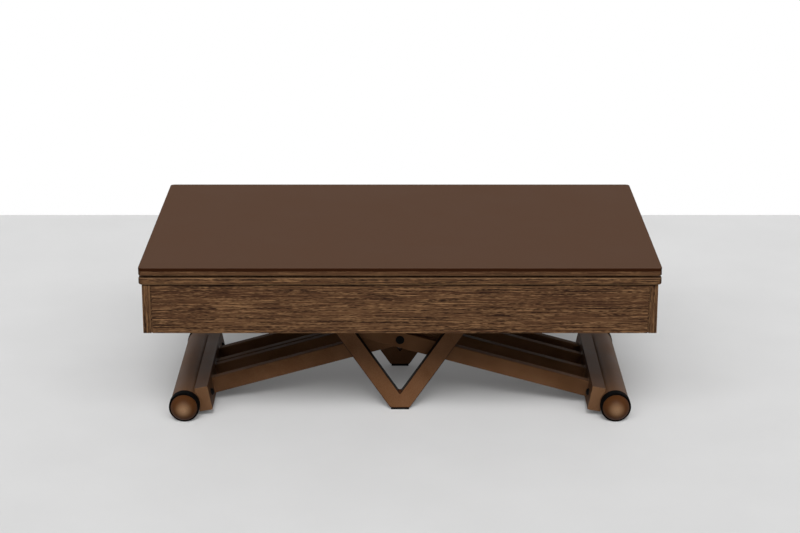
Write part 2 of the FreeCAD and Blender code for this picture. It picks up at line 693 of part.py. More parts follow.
pads = new_piece("v_foot_pads")
loops = []
for front in ("-1", "1"):
    middle = "%s * (v_back + v_thickness / 2)" % front
    loops.append(rectangle("-pad_width / 2", middle + " - pad_depth / 2",
                           "pad_width / 2", middle + " + pad_depth / 2"))
pad(pads, "XY_Plane", loops, "pad_thickness")
place(pads, "0", "0", "pad_thickness / 2")

brackets = new_piece("v_brackets")
for front in ("-1", "1"):
    section = [("%s * bracket_face" % front, "-bracket_drop"), ("%s * v_face" % front, "-bracket_drop"),
               ("%s * v_face" % front, "0"), ("%s * rail_back" % front, "0"),
               ("%s * rail_back" % front, "-bracket_plate"),
               ("%s * bracket_face" % front, "-bracket_plate")]
    pad(brackets, "YZ_Plane", [section], "2 * bracket_line + bracket_length")
pocket(brackets, "YZ_Plane", [rectangle("-rail_back - overrun", "-bracket_drop - overrun",
                                        "rail_back + overrun", "overrun")],
       "2 * bracket_line - bracket_length")
holes = [("circle", across, level + " - rail_bottom", "v_bolt_radius") for across, level in V_BOLTS]
pocket(brackets, "XZ_Plane", holes, "2 * (rail_back + overrun)")
place(brackets, "0", "0", "rail_bottom")

bolts = new_piece("v_bolts")
heads = [("circle", across, level, "v_bolt_head") for across, level in V_BOLTS]
shanks = [("circle", across, level, "v_bolt_radius") for across, level in V_BOLTS]
BOLT_STARTS = (("bracket_face", "v_back"), ("-bracket_face - v_bolt_height", "-bracket_face"))
for head_start, shank_start in BOLT_STARTS:
    pad(bolts, "XZ_Plane", heads, "v_bolt_height", head_start)
    pad(bolts, "XZ_Plane", shanks, "bracket_plate + v_thickness", shank_start)
place(bolts)

# Runners: bars under the lower leaf, held down in channels on the end boards

def mirrored(middle, half):
    """A closed outline from its half on one side of an upright middle line."""
    one_side = [("%s + %s" % (middle, out), level) for out, level in half]
    other_side = [("%s - %s" % (middle, out), level) for out, level in reversed(half)]
    return one_side + other_side


channels = new_piece("runner_channels")
for end in ("-1", "1"):
    low = "channel_bottom"
    high = "channel_top"
    floor = low + " + channel_wall"
    lip = high + " - channel_wall"
    half = [("channel_width / 2", low), ("channel_width / 2", high), ("channel_slot / 2", high),
            ("channel_slot / 2", lip), ("(channel_width / 2 - channel_wall)", lip),
            ("(channel_width / 2 - channel_wall)", floor)]
    pad(channels, "XZ_Plane", [mirrored("%s * channel_line" % end, half)], "2 * inner_face")
place(channels)

runners = new_piece("runner_bars")
for end in ("-1", "1"):
    low = "channel_bottom + channel_wall + slide_clearance"
    foot_top = "channel_top - channel_wall - slide_clearance"
    under = "leaf_bottom - runner_head"
    half = [("runner_foot", low), ("runner_foot", foot_top), ("runner_web / 2", foot_top),
            ("runner_web / 2", under), ("channel_width / 2", under), ("channel_width / 2", "leaf_bottom")]
    pad(runners, "XZ_Plane", [mirrored("%s * channel_line" % end, half)], "runner_length")
place(runners, "0", "fold_line / 2", "0")

# Folding top: the lower leaf, and the upper board with the top sheet on it
HINGE_LINES = ["-hinge_pitch", "0", "hinge_pitch"]
PLAN = rectangle("-half_length", "-half_depth", "half_length", "leaf_rear")
NOTCHES = []
for line in HINGE_LINES:
    NOTCHES.append(rectangle("%s - hinge_length / 2 - edge_clearance" % line, "notch_line",
                             "%s + hinge_length / 2 + edge_clearance" % line, "half_depth + overrun"))

leaf = new_piece("lower_leaf")
pad(leaf, "XY_Plane", [PLAN], "leaf_thickness")
round_edges(leaf, "plan_corner", lambda edge: straight_along(edge, 0, 0, 1))
round_edges(leaf, "leaf_round", lambda edge: at_height(edge, "leaf_thickness / 2")
            or at_height(edge, "-leaf_thickness / 2"))
pocket(leaf, "XY_Plane", NOTCHES, "hinge_flange + overrun", "leaf_thickness / 2 - hinge_flange", True)
place(leaf, "0", "0", "leaf_bottom + leaf_thickness / 2")

board = new_piece("upper_board")
pad(board, "XY_Plane", [PLAN], "board_thickness")
round_edges(board, "plan_corner", lambda edge: straight_along(edge, 0, 0, 1))
round_edges(board, "board_round", lambda edge: at_height(edge, "-board_thickness / 2"))
pocket(board, "XY_Plane", NOTCHES, "hinge_flange + overrun", "-board_thickness / 2 + hinge_flange")
place(board, "0", "0", "board_bottom + board_thickness / 2")

top_sheet = new_piece("top_sheet")
pad(top_sheet, "XY_Plane", [PLAN], "sheet_thickness")
round_edges(top_sheet, "plan_corner", lambda edge: straight_along(edge, 0, 0, 1))
round_edges(top_sheet, "sheet_arris", lambda edge: at_height(edge, "sheet_thickness / 2")
            or at_height(edge, "-sheet_thickness / 2"))
place(top_sheet, "0", "0", "sheet_bottom + sheet_thickness / 2")

# Book hinges: a flange let into each rear edge, with knuckles rolled about a pin on the parting line
FLANGE = [("-hinge_seat", "-hinge_flange - leaf_gap / 2"),
          ("-hinge_seat + hinge_plate", "-hinge_flange - leaf_gap / 2"),
          ("-hinge_seat + hinge_plate", "-knuckle_root", "knuckle_radius", 1),
          ("knuckle_radius", "0", "knuckle_radius", 1), ("-knuckle_radius", "0"), ("-hinge_seat", "0")]
KNUCKLE_ZONE = ("-hinge_seat - overrun", "-knuckle_radius - knuckle_clearance", "knuckle_radius + overrun",
                "knuckle_radius + overrun")


def hinge_halves(name, turn, spans):
    """Three hinge halves: the full section, cut away where the other half's knuckles are."""
    halves = new_piece(name)
    for line in HINGE_LINES:
        pad(halves, "YZ_Plane", [FLANGE, ("circle", "0", "0", "pin_radius + running_clearance")],
            "hinge_length", "%s - hinge_length / 2" % line)
    for line in HINGE_LINES:
        for start, length in spans:
            pocket(halves, "YZ_Plane", [rectangle(*KNUCKLE_ZONE)], length,
                   "%s + (%s)" % (line, start), True)
    place(halves, "0", "fold_line", "fold_level", turn)


hinge_halves("hinge_lower_halves", "0 deg",
             [("-hinge_length / 6 - edge_clearance", "hinge_length / 3 + 2 * edge_clearance")])
hinge_halves("hinge_upper_halves", "180 deg",
             [("-hinge_length / 2 - overrun", "hinge_length / 3 + overrun"),
              ("hinge_length / 6", "hinge_length / 3 + overrun")])

pins = new_piece("hinge_pins")
for line in HINGE_LINES:
    pad(pins, "YZ_Plane", [("circle", "0", "0", "pin_radius")], "hinge_length",
        "%s - hinge_length / 2" % line)
place(pins, "0", "fold_line", "fold_level")

# Every piece is checked before any is written
doc.recompute()
for thing in doc.Objects:
    if "Invalid" in thing.State or "Error" in thing.State:
        raise RuntimeError(thing.Label + " failed to build")
for piece in nodes:
    if piece.Shape.isNull() or not piece.Shape.isValid() or not piece.Shape.Solids:
        raise RuntimeError(piece.Label + " is not a valid solid")
os.makedirs("parts", exist_ok=True)
for piece in nodes:
    piece.Shape.exportStep("parts/%s.step" % piece.Label)
print(len(nodes), "nodes,", sum(len(piece.Shape.Solids) for piece in nodes), "solids")
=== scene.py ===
import math

import bmesh
import bpy
from mathutils import Matrix, Vector


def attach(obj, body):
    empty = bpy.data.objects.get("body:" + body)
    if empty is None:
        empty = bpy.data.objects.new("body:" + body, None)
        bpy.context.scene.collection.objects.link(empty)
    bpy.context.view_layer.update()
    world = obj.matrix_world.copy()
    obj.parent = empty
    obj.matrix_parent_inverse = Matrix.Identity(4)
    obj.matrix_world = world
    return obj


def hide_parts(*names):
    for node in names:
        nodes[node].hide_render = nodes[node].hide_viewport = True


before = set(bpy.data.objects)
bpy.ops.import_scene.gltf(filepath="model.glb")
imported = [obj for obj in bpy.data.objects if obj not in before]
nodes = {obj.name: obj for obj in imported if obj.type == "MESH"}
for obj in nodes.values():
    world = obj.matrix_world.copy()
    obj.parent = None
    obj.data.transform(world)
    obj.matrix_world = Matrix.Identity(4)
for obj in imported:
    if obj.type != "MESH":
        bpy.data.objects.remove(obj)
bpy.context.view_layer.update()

# Scissor frames: foot tubes, crossbars and eight legs
# Round and box steel tube, welded into two frames and powder coated bronze: satin, with a faint orange peel
# The coat is darker on the crossbars as painted shade, flatter on the legs, and paler inward on the front legs as
# painted light.
MM = 0.001
SIDES = {"left": -1, "right": 1}


def linear(hex_colour):
    """An sRGB hex colour as linear red, green, blue and alpha."""
    shares = [int(hex_colour[i:i + 2], 16) / 255 for i in (1, 3, 5)]
    return [s / 12.92 if s <= 0.04045 else ((s + 0.055) / 1.055) ** 2.4 for s in shares] + [1]


def add(tree, kind, inputs=None, **fields):
    """Adds a shader node, sets its fields, and sets or links its inputs, named or counted."""
    node = tree.nodes.new("ShaderNode" + kind)
    for field, value in fields.items():
        setattr(node, field, value)
    for key, value in (inputs or {}).items():
        if isinstance(value, bpy.types.NodeSocket):
            tree.links.new(value, node.inputs[key])
        else:
            node.inputs[key].default_value = value
    return node


def new_material(name, inputs):
    """A material with one surface shader, and the values that are the same all over it."""
    material = bpy.data.materials.new(name)
    material.use_nodes = True
    shader = material.node_tree.nodes["Principled BSDF"]
    for key, value in inputs.items():
        shader.inputs[key].default_value = value
    return material, material.node_tree, shader


def finish_nodes(material, *names):
    """Gives pieces of the frame their finish."""
    for name in names:
        nodes[name].data.materials.clear()
        nodes[name].data.materials.append(material)


def bronze_coat(name, dark, light, roughness, shine=0.045, rim=None, rim_start=0.72, rim_bend=2.2, inward=None):
    """Bronze powder coat: mica specks, slow clouding of the colour, and orange peel. If asked, it has painted
    shade at the rim, where a face turns away from the front, or painted light toward the middle of the table."""
    mica_size, cloud_size = 1.4 * MM, 70 * MM
    peel_size, peel_depth = 2.2 * MM, 0.04 * MM
    inward_start, inward_full = 420 * MM, 280 * MM
    front_facing = 0.998
    shinier, duller = 0.05, 0.07
    material, tree, shader = new_material(name, {"IOR": 1.5, "Specular IOR Level": shine})
    coordinates = add(tree, "TexCoord").outputs
    place = coordinates["Object"]
    # Real mica is about 0.1 mm across; it is drawn coarser so that it shows
    mica = add(tree, "TexNoise", {"Vector": place, "Scale": 1 / mica_size, "Detail": 1.0})
    cloud = add(tree, "TexNoise", {"Vector": place, "Scale": 1 / cloud_size, "Detail": 3.0})
    peel = add(tree, "TexNoise", {"Vector": place, "Scale": 1 / peel_size, "Detail": 1.0})
    both = add(tree, "Math", {0: mica.outputs[0], 1: cloud.outputs[0]}, operation="ADD")
    tone = add(tree, "MapRange", {"Value": both.outputs[0], "From Min": 0.7, "From Max": 1.3})
    colour = add(tree, "Mix", {0: tone.outputs[0], 6: linear(dark), 7: linear(light)}, data_type="RGBA")
    # Painted light: the coat turns paler toward the middle of the table, as if lit more there
    if inward:
        inner = add(tree, "Mix", {0: tone.outputs[0], 6: linear(inward[0]), 7: linear(inward[1])},
                    data_type="RGBA")
        across = add(tree, "SeparateXYZ", {0: place}).outputs["X"]
        across = add(tree, "Math", {0: across}, operation="ABSOLUTE").outputs[0]
        share = add(tree, "MapRange", {"Value": across, "From Min": inward_start, "From Max": inward_full})
        colour = add(tree, "Mix", {0: share.outputs[0], 6: colour.outputs[2], 7: inner.outputs[2]},
                     data_type="RGBA")
    # Painted shade: the colour darkens toward the rim colour where a face turns away from the front
    if rim:
        outward = add(tree, "SeparateXYZ", {0: coordinates["Normal"]}).outputs["Y"]
        outward = add(tree, "Math", {0: outward}, operation="ABSOLUTE").outputs[0]
        turned_away_shade = add(tree, "MapRange", {"Value": outward, "From Min": rim_start, "From Max": front_facing})
        turned_away_shade = add(tree, "Math", {0: turned_away_shade.outputs[0], 1: rim_bend}, operation="POWER").outputs[0]
        colour = add(tree, "Mix", {0: turned_away_shade, 6: linear(rim), 7: colour.outputs[2]}, data_type="RGBA")
    tree.links.new(colour.outputs[2], shader.inputs["Base Color"])
    dull = add(tree, "MapRange", {"Value": cloud.outputs[0], "From Min": 0.3, "From Max": 0.7,
                                  "To Min": roughness - shinier, "To Max": roughness + duller})
    tree.links.new(dull.outputs[0], shader.inputs["Roughness"])
    bump = add(tree, "Bump", {"Height": peel.outputs[0], "Strength": 0.5, "Distance": peel_depth})
    tree.links.new(bump.outputs[0], shader.inputs["Normal"])
    return material


bronze = bronze_coat("bronze_powder_coat_satin", "#4e341f", "#624530", 0.48)
# Painted shade: a darker copy of the coat on the crossbars, for the shade under the table top
bar_bronze = bronze_coat("bronze_powder_coat_painted_shade", "#3e2817", "#4f3625", 0.48)
matt_bronze = bronze_coat("bronze_powder_coat_matt", "#4a311d", "#5d412d", 0.5, shine=0.015)
# Painted light: the front legs turn paler toward the middle of the table
pale_bronze = bronze_coat("bronze_powder_coat_matt_painted_light_inward", "#4e341f", "#624530", 0.5, shine=0.02,
                          inward=("#604028", "#77553b"))
for side in SIDES:
    finish_nodes(bronze, side + "_foot_tube")
    finish_nodes(bar_bronze, side + "_crossbar")
    finish_nodes(pale_bronze, side + "_leg_1")
    finish_nodes(matt_bronze, side + "_leg_2", side + "_leg_3", side + "_leg_4")

# End plates of the crossbars
# Flat steel plates welded over the open ends of the box tube; their coat is a lighter copy, painted light where
# they face the light unshadowed.
plate_bronze = bronze_coat("bronze_powder_coat_plates_painted_light", "#583d28", "#6d5039", 0.48)
for side in SIDES:
    finish_nodes(plate_bronze, side + "_crossbar_plates")

# Weld beads round the legs
# Each leg is welded all round where its end meets the inner face of the crossbar.
# The beads are small and even, slightly scalloped, and coated with the frames.
AXLE_REACH, AXLE_HEIGHT = 517.5, 36.5
CROSSBAR_ANGLE = math.radians(11)
CROSSBAR_FACE = 60.5
LEG_DEPTH, LEG_HEIGHT, LEG_CORNER, LEG_OFFSET = 20, 40.1, 2, -3.07
LEG_PLANES = {"left": (-101, -14, 11, 101), "right": (-123, -36, 57, 123)}
# Each corner of the bead's section: how far out from the leg, and how far up from the crossbar
BEAD_SECTION = ((-0.6, -0.2), (3.0, -0.2), (1.2, 1.2), (-0.3, 3.0), (-0.8, 3.0))
BEAD_SCALLOP = 0.35


def crossbar_face(end):
    """The middle of a crossbar's inner face, the way out of that face, and the way up along it."""
    out = Vector((-end * math.cos(CROSSBAR_ANGLE), 0, math.sin(CROSSBAR_ANGLE)))
    up = Vector((end * math.sin(CROSSBAR_ANGLE), 0, math.cos(CROSSBAR_ANGLE)))
    return Vector((end * AXLE_REACH, 0, AXLE_HEIGHT)) + CROSSBAR_FACE * out, out, up


def skin(rings, looped=False):
    """Corners and faces of a skin over rings of points: capped at both ends, or looped back to its start."""
    count = len(rings[0])
    corners = [corner for ring in rings for corner in ring]
    faces = []
    for row in range(len(rings) - (0 if looped else 1)):
        here, there = row * count, (row + 1) % len(rings) * count
        for i in range(count):
            j = (i + 1) % count
            faces.append((here + i, here + j, there + j, there + i))
    if not looped:
        faces.append(tuple(range(count))[::-1])
        faces.append(tuple(range(len(corners) - count, len(corners))))
    return corners, faces


def aimed(rings, point, towards):
    """Rings that were drawn about the Z axis, brought to a point and turned to face a direction."""
    turn = Vector(towards).to_track_quat("Z", "Y").to_matrix()
    return [[turn @ Vector(corner) + Vector(point) for corner in ring] for ring in rings]


def new_piece(name, skins, material, body):
    """One object from skins drawn in mm, with crisp edges where it turns sharply; it moves with a body."""
    crisp = math.radians(35)
    shape = bmesh.new()
    for corners, faces in skins:
        made = [shape.verts.new(Vector(corner) * MM) for corner in corners]
        for face in faces:
            shape.faces.new([made[i] for i in face])
    bmesh.ops.recalc_face_normals(shape, faces=shape.faces)
    mesh = bpy.data.meshes.new(name)
    shape.to_mesh(mesh)
    shape.free()
    mesh.shade_smooth()
    mesh.set_sharp_from_angle(angle=crisp)
    mesh.materials.append(material)
    piece = bpy.data.objects.new(name, mesh)
    bpy.context.scene.collection.objects.link(piece)
    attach(piece, body)
    return piece


def bead_ring(outset, height):
    """A scalloped loop round a leg, some way out from its faces and up from the crossbar."""
    long_steps, short_steps, corner_steps = 14, 7, 4
    half_long, half_short = LEG_HEIGHT / 2 - LEG_CORNER, LEG_DEPTH / 2 - LEG_CORNER
    loop = []
    for quarter, (mid_x, mid_y, steps) in enumerate(((half_short, half_long, short_steps),
                                                     (-half_short, half_long, long_steps),
                                                     (-half_short, -half_long, short_steps),
                                                     (half_short, -half_long, long_steps))):
        start = quarter * math.pi / 2
        arc = [(mid_x, mid_y, start + i * math.pi / 2 / corner_steps) for i in range(corner_steps + 1)]
        along = Vector((-math.sin(start + math.pi / 2), math.cos(start + math.pi / 2)))
        span = 2 * (half_short if quarter % 2 == 0 else half_long)
        arc += [(mid_x + along.x * span * i / steps, mid_y + along.y * span * i / steps, start + math.pi / 2)
                for i in range(1, steps)]
        for x, y, angle in arc:
            out = LEG_CORNER + outset
            if outset > 0:
                out += BEAD_SCALLOP * (-1) ** len(loop) / 2
            loop.append((x + out * math.cos(angle), y + out * math.sin(angle), height))
    return loop


bead = [bead_ring(outset, height) for outset, height in BEAD_SECTION]
for side, end in SIDES.items():
    seat, face_out, face_up = crossbar_face(end)
    turn = Matrix((Vector((0, 1, 0)), face_up, face_out)).transposed()
    beads = []
    for plane in LEG_PLANES[side]:
        root = seat + LEG_OFFSET * face_up + Vector((0, plane, 0))
        beads.append(skin([[turn @ Vector(corner) + root for corner in ring] for ring in bead], looped=True))
    new_piece(side + "_leg_welds", beads, bronze, side + "_scissor")

# Wheels: hubs, tyres and axles
# Nylon hubs pressed on a zinc plated axle, each with a black rubber ring that rolls on the floor.
# The tube bearings and the leg bushes are moulded from the same nylon as the hubs.


def black_finish(name, inputs, grain, detail, colours, roughness, strength, depth):
    """A black finish with one fine grain, which shows in its colour, its gloss and its surface."""
    material, tree, shader = new_material(name, inputs)
    place = add(tree, "TexCoord").outputs["Object"]
    grit = add(tree, "TexNoise", {"Vector": place, "Scale": 1 / grain, "Detail": detail}).outputs[0]
    dark, light = colours
    colour = add(tree, "Mix", {0: grit, 6: linear(dark), 7: linear(light)}, data_type="RGBA")
    smooth, rough = roughness
    dull = add(tree, "MapRange", {"Value": grit, "To Min": smooth, "To Max": rough})
    bump = add(tree, "Bump", {"Height": grit, "Strength": strength, "Distance": depth})
    tree.links.new(colour.outputs[2], shader.inputs["Base Color"])
    tree.links.new(dull.outputs[0], shader.inputs["Roughness"])
    tree.links.new(bump.outputs[0], shader.inputs["Normal"])
    return material


# Moulded rubber is deep black and dull; its real grit is finer, and is drawn coarser so that it shows
rubber = black_finish("black_rubber_moulded", {"IOR": 1.5, "Specular IOR Level": 0.02},
                      grain=1.2 * MM, detail=3.0, colours=("#040404", "#0b0a0a"), roughness=(0.6, 0.9),
                      strength=0.4, depth=0.1 * MM)
# Moulded nylon is a softer black with a low gloss, broken by the sparked face of the mould, drawn coarser
nylon = black_finish("black_nylon_moulded", {"IOR": 1.53, "Specular IOR Level": 0.1},
                     grain=1.6 * MM, detail=2.0, colours=("#0d0d0d", "#181818"), roughness=(0.4, 0.62),
                     strength=0.3, depth=0.05 * MM)

# Zinc plate is a grey metal, in patches that are more or less dull; its drawn lines are coarser than real ones
zinc, tree, shader = new_material("zinc_plated_steel", {"Metallic": 1.0})
ZINC_PATCH = 6 * MM
DRAWN_LINE, LINE_DEPTH = 0.9 * MM, 0.02 * MM
place = add(tree, "TexCoord").outputs["Object"]
patch = add(tree, "TexNoise", {"Vector": place, "Scale": 1 / ZINC_PATCH, "Detail": 3.0})
lines = add(tree, "TexNoise", {"Vector": place, "Scale": 1 / DRAWN_LINE, "Detail": 1.0})
colour = add(tree, "Mix", {0: patch.outputs[0], 6: linear("#8d8f92"), 7: linear("#b4b5b6")}, data_type="RGBA")
dull = add(tree, "MapRange", {"Value": patch.outputs[0], "From Min": 0.3, "From Max": 0.7,
                              "To Min": 0.28, "To Max": 0.45})
bump = add(tree, "Bump", {"Height": lines.outputs[0], "Strength": 0.2, "Distance": LINE_DEPTH})
tree.links.new(colour.outputs[2], shader.inputs["Base Color"])
tree.links.new(dull.outputs[0], shader.inputs["Roughness"])
tree.links.new(bump.outputs[0], shader.inputs["Normal"])

for side in SIDES:
    finish_nodes(rubber, side + "_tyres")
    finish_nodes(nylon, side + "_hubs", side + "_tube_bearings", side + "_leg_bushes")
    finish_nodes(zinc, side + "_axle")

# Wheel caps
# Pressed steel domes over the wheel ends, in the same bronze as the tubes.
# A paler coat gives the middle of a dome a painted highlight, and painted shade darkens it towards the rim.
cap_bronze = bronze_coat("bronze_powder_coat_painted_highlight_rim_shade", "#785b42", "#86684e", 0.42, rim="#462913")
for side in SIDES:
    finish_nodes(cap_bronze, side + "_caps")

# Release lever and gas spring cylinder
# A bent steel lever and a drawn steel tube, black enamelled and stoved.
# Stoved enamel is a deep black that keeps a faint orange peel.
black = black_finish("black_enamel_stoved", {"IOR": 1.5, "Specular IOR Level": 0.03},
                     grain=2.5 * MM, detail=1.0, colours=("#070606", "#0e0d0c"), roughness=(0.3, 0.5),
                     strength=0.3, depth=0.04 * MM)
finish_nodes(black, "release_lever", "gas_spring_cylinder")

# Crossbar bolts
# Turned steel button heads with a hexagon socket, enamelled black.
# They are screwed into the crossbars beside the outer legs.


def turned(profile, steps=24):
    """Rings about the Z axis: round, six-sided or cross-shaped, each with its size across and its height."""
    cross_arm = 0.3
    rings = []
    for shape, across, height in profile:
        ring = []
        for i in range(steps):
            angle = 2 * math.pi * i / steps
            reach = across / 2
            if shape == "hex":
                reach /= math.cos((angle + math.pi / 6) % (math.pi / 3) - math.pi / 6)
            if shape == "cross":
                aside = abs((angle + math.pi / 4) % (math.pi / 2) - math.pi / 4)
                reach = min(reach, cross_arm * reach / max(math.sin(aside), 0.01))
            ring.append((reach * math.cos(angle), reach * math.sin(angle), height))
        rings.append(ring)
    return rings


FOOT_BOLT = turned((("round", 17, -1), ("round", 17, 1.4), ("round", 16, 3.2), ("round", 13.4, 4.8),
                    ("round", 10, 5.8), ("round", 8.4, 6), ("hex", 6, 6), ("hex", 6, 2.6)))
FOOT_BOLT_PLANE = 158.5
for side, end in SIDES.items():
    seat, face_out, face_up = crossbar_face(end)
    heads = [skin(aimed(FOOT_BOLT, seat + Vector((0, plane, 0)), face_out))
             for plane in (-FOOT_BOLT_PLANE, FOOT_BOLT_PLANE)]
    bolts = new_piece(side + "_socket_bolts", heads, black, side + "_scissor")
    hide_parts(side + "_foot_bolts")

# Pivot shaft, pivot bushes and spacers
# One turned and enamelled steel shaft through all eight legs, with a low head and a hexagon socket at each end.
# It turns in nylon bushes, and nylon spacers keep the legs apart.
PIVOT_HEIGHT, PIVOT_TIP = 172, 135.5
half_shaft = (("hex", 8, PIVOT_TIP - 1.6), ("hex", 8, PIVOT_TIP), ("round", 12, PIVOT_TIP),
              ("round", 18.6, PIVOT_TIP - 0.3), ("round", 20.8, PIVOT_TIP - 1.1),
              ("round", 20.8, PIVOT_TIP - 2.4), ("round", 12, PIVOT_TIP - 2.4))
whole_shaft = [(shape, across, -height) for shape, across, height in half_shaft] + list(half_shaft[::-1])
shaft = new_piece("pivot_shaft_socketed", [skin(aimed(turned(whole_shaft), (0, 0, PIVOT_HEIGHT), (0, 1, 0)))],
                  black, "left_scissor")
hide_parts("pivot_shaft")
finish_nodes(nylon, "pivot_bushes", "pivot_spacers")

# Upper shafts and shoes
# Zinc plated shafts through the legs' upper ends, each with two moulded nylon shoes that run in the rails.
for side in SIDES:
    finish_nodes(zinc, side + "_upper_shaft")
    finish_nodes(nylon, side + "_shoes")

# V foot bolts
# Enamelled hexagon bolts with washers, that hold each V foot to its brackets.
V_BOLT = turned((("round", 8, -22.9), ("round", 8, 0), ("round", 14, 0), ("round", 14, 1.1), ("hex", 11, 1.1),
                 ("hex", 11, 4.3), ("round", 10.6, 4.7), ("round", 8.6, 5)))
V_BOLT_PLACES = ((189.5, 282.6), (178.54, 266.6))
BRACKET_FACE = 159
heads = []
for out in (-1, 1):
    for end in (-1, 1):
        for across, height in V_BOLT_PLACES:
            heads.append(skin(aimed(V_BOLT, (end * across, out * BRACKET_FACE, height), (0, out, 0))))
bolts = new_piece("v_hexagon_bolts", heads, black, "top_frame")
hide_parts("v_bolts")

# Gas spring rod
# Ground and hard chromed steel rod that slides in the black cylinder.
# It is bright, with the grinding left as a faint cloud that is drawn coarser than it is.
chrome, tree, shader = new_material("hard_chrome_ground", {"Metallic": 1.0})
GRINDING_SIZE = 1.5 * MM
place = add(tree, "TexCoord").outputs["Object"]
ground = add(tree, "TexNoise", {"Vector": place, "Scale": 1 / GRINDING_SIZE, "Detail": 2.0})
colour = add(tree, "Mix", {0: ground.outputs[0], 6: linear("#c4c6c9"), 7: linear("#dddee0")}, data_type="RGBA")
dull = add(tree, "MapRange", {"Value": ground.outputs[0], "To Min": 0.08, "To Max": 0.2})
tree.links.new(colour.outputs[2], shader.inputs["Base Color"])
tree.links.new(dull.outputs[0], shader.inputs["Roughness"])
finish_nodes(chrome, "gas_spring_rod")

# Apron boards and leaves
# Board faced and edge-banded with dark stained oak, brushed so that the pores stay open.
# The veneer runs along each board; the banding follows each edge. Arrises are paler, a painted highlight.


def oak(name, along, edge_normal, edge_along, leaf=False, figure=1.0):
    """Open-pore dark oak. Its grain runs along one axis, and along another on the banded edges.
    A leaf's short ends and its upper arris get painted shade; figure is the strength of the grain."""
    axes = "XYZ"
    edge_turn = 0.72
    others = [axis for axis in axes if axis != along]
    edge_others = [axis for axis in axes if axis != edge_along]
    # Real oak pores are about 0.3 mm wide; they are drawn coarser so that they show
    pore_length, pore_width, pore_depth = 170 * MM, 2.2 * MM, 0.25 * MM
    ray_length, ray_width = 75 * MM, 1.9 * MM
    tick_length, tick_width = 13 * MM, 1.9 * MM
    streak_length, streak_width = 240 * MM, 5 * MM
    board_length, board_width = 900 * MM, 45 * MM
    sway_length, sway_width, sway = 420 * MM, 80 * MM, 3 * MM
    material, tree, shader = new_material(name, {"IOR": 1.5, "Specular IOR Level": 0.08})
    coordinates = add(tree, "TexCoord")
    place = add(tree, "SeparateXYZ", {0: coordinates.outputs["Object"]}).outputs
    normal = add(tree, "SeparateXYZ", {0: coordinates.outputs["Normal"]}).outputs
    on_face = add(tree, "CombineXYZ", {"X": place[along], "Y": place[others[0]], "Z": place[others[1]]})
    on_edge = add(tree, "CombineXYZ", {"X": place[edge_along], "Y": place[edge_others[0]],
                                       "Z": place[edge_others[1]]})
    facing = add(tree, "Math", {0: normal[edge_normal]}, operation="ABSOLUTE")
    is_edge = add(tree, "Math", {0: facing.outputs[0], 1: edge_turn}, operation="GREATER_THAN")
    grain = add(tree, "Mix", {0: is_edge.outputs[0], 4: on_face.outputs[0], 5: on_edge.outputs[0]},
                data_type="VECTOR").outputs[1]
    # The grain sways a little along the board
    slow = add(tree, "VectorMath", {0: grain, 1: (1 / sway_length, 1 / sway_width, 1 / sway_width)},
               operation="MULTIPLY")
    swing = add(tree, "TexNoise", {"Vector": slow.outputs[0], "Scale": 1.0, "Detail": 2.0})
    push = add(tree, "MapRange", {"Value": swing.outputs[0], "To Min": -sway, "To Max": sway})
    aside = add(tree, "CombineXYZ", {"Y": push.outputs[0], "Z": push.outputs[0]})
    grain = add(tree, "VectorMath", {0: grain, 1: aside.outputs[0]}, operation="ADD").outputs[0]
    layers = []
    for length, width, detail in ((pore_length, pore_width, 2.0), (ray_length, ray_width, 2.0),
                                  (tick_length, tick_width, 1.0), (streak_length, streak_width, 2.0),
                                  (board_length, board_width, 2.0)):
        stretched = add(tree, "VectorMath", {0: grain, 1: (1 / length, 1 / width, 1 / width)},
                        operation="MULTIPLY")
        layers.append(add(tree, "TexNoise", {"Vector": stretched.outputs[0], "Scale": 1.0, "Detail": detail,
                                             "Roughness": 0.55}).outputs[0])
    pores, rays, ticks, streaks, boards = layers
    # Streaks and boards set the tone of the stain, and the rays between them are paler
    tone = add(tree, "Math", {0: streaks, 1: 1.3, 2: boards}, operation="MULTIPLY_ADD")
    tone = add(tree, "MapRange", {"Value": tone.outputs[0], "From Min": 0.8, "From Max": 1.5})
    stain = add(tree, "Mix", {0: tone.outputs[0], 6: linear("#41291a"), 7: linear("#5e432c")}, data_type="RGBA")
    pale = add(tree, "Math", {0: ticks, 1: 0.4, 2: rays}, operation="MULTIPLY_ADD")
    pale = add(tree, "MapRange", {"Value": pale.outputs[0], "From Min": 0.72, "From Max": 0.9,
                                  "To Max": 0.7 * figure})
    stain = add(tree, "Mix", {0: pale.outputs[0], 6: stain.outputs[2], 7: linear("#8f6c4a")}, data_type="RGBA")
    # Short ticks break up the long pores
    broken = add(tree, "Math", {0: ticks, 1: 0.5, 2: pores}, operation="MULTIPLY_ADD")
    open_pore = add(tree, "MapRange", {"Value": broken.outputs[0], "From Min": 0.745, "From Max": 0.585,
                                       "To Max": figure})
    stain = add(tree, "Mix", {0: open_pore.outputs[0], 6: stain.outputs[2], 7: linear("#1e1109")},
                data_type="RGBA")
    # On a rounded arris the normal lies between the axes, and there a paler painted highlight goes;
    # on a leaf it goes only on the arrises that face up
    tilt = add(tree, "VectorMath", {0: coordinates.outputs["Normal"]}, operation="ABSOLUTE")
    parts = add(tree, "SeparateXYZ", {0: tilt.outputs[0]}).outputs
    largest = add(tree, "Math", {0: parts["X"], 1: parts["Y"]}, operation="MAXIMUM")
    largest = add(tree, "Math", {0: largest.outputs[0], 1: parts["Z"]}, operation="MAXIMUM")
    arris_highlight = add(tree, "MapRange", {"Value": largest.outputs[0], "From Min": 0.98, "From Max": 0.75,
                                    "To Max": 0.4})
    if leaf:
        sloping = add(tree, "Math", {0: parts["Z"], 1: 0.05}, operation="GREATER_THAN")
        arris_highlight = add(tree, "Math", {0: arris_highlight.outputs[0], 1: sloping.outputs[0]}, operation="MULTIPLY")
    colour = add(tree, "Mix", {0: arris_highlight.outputs[0], 6: stain.outputs[2], 7: linear("#a5835f")},
                 data_type="RGBA")
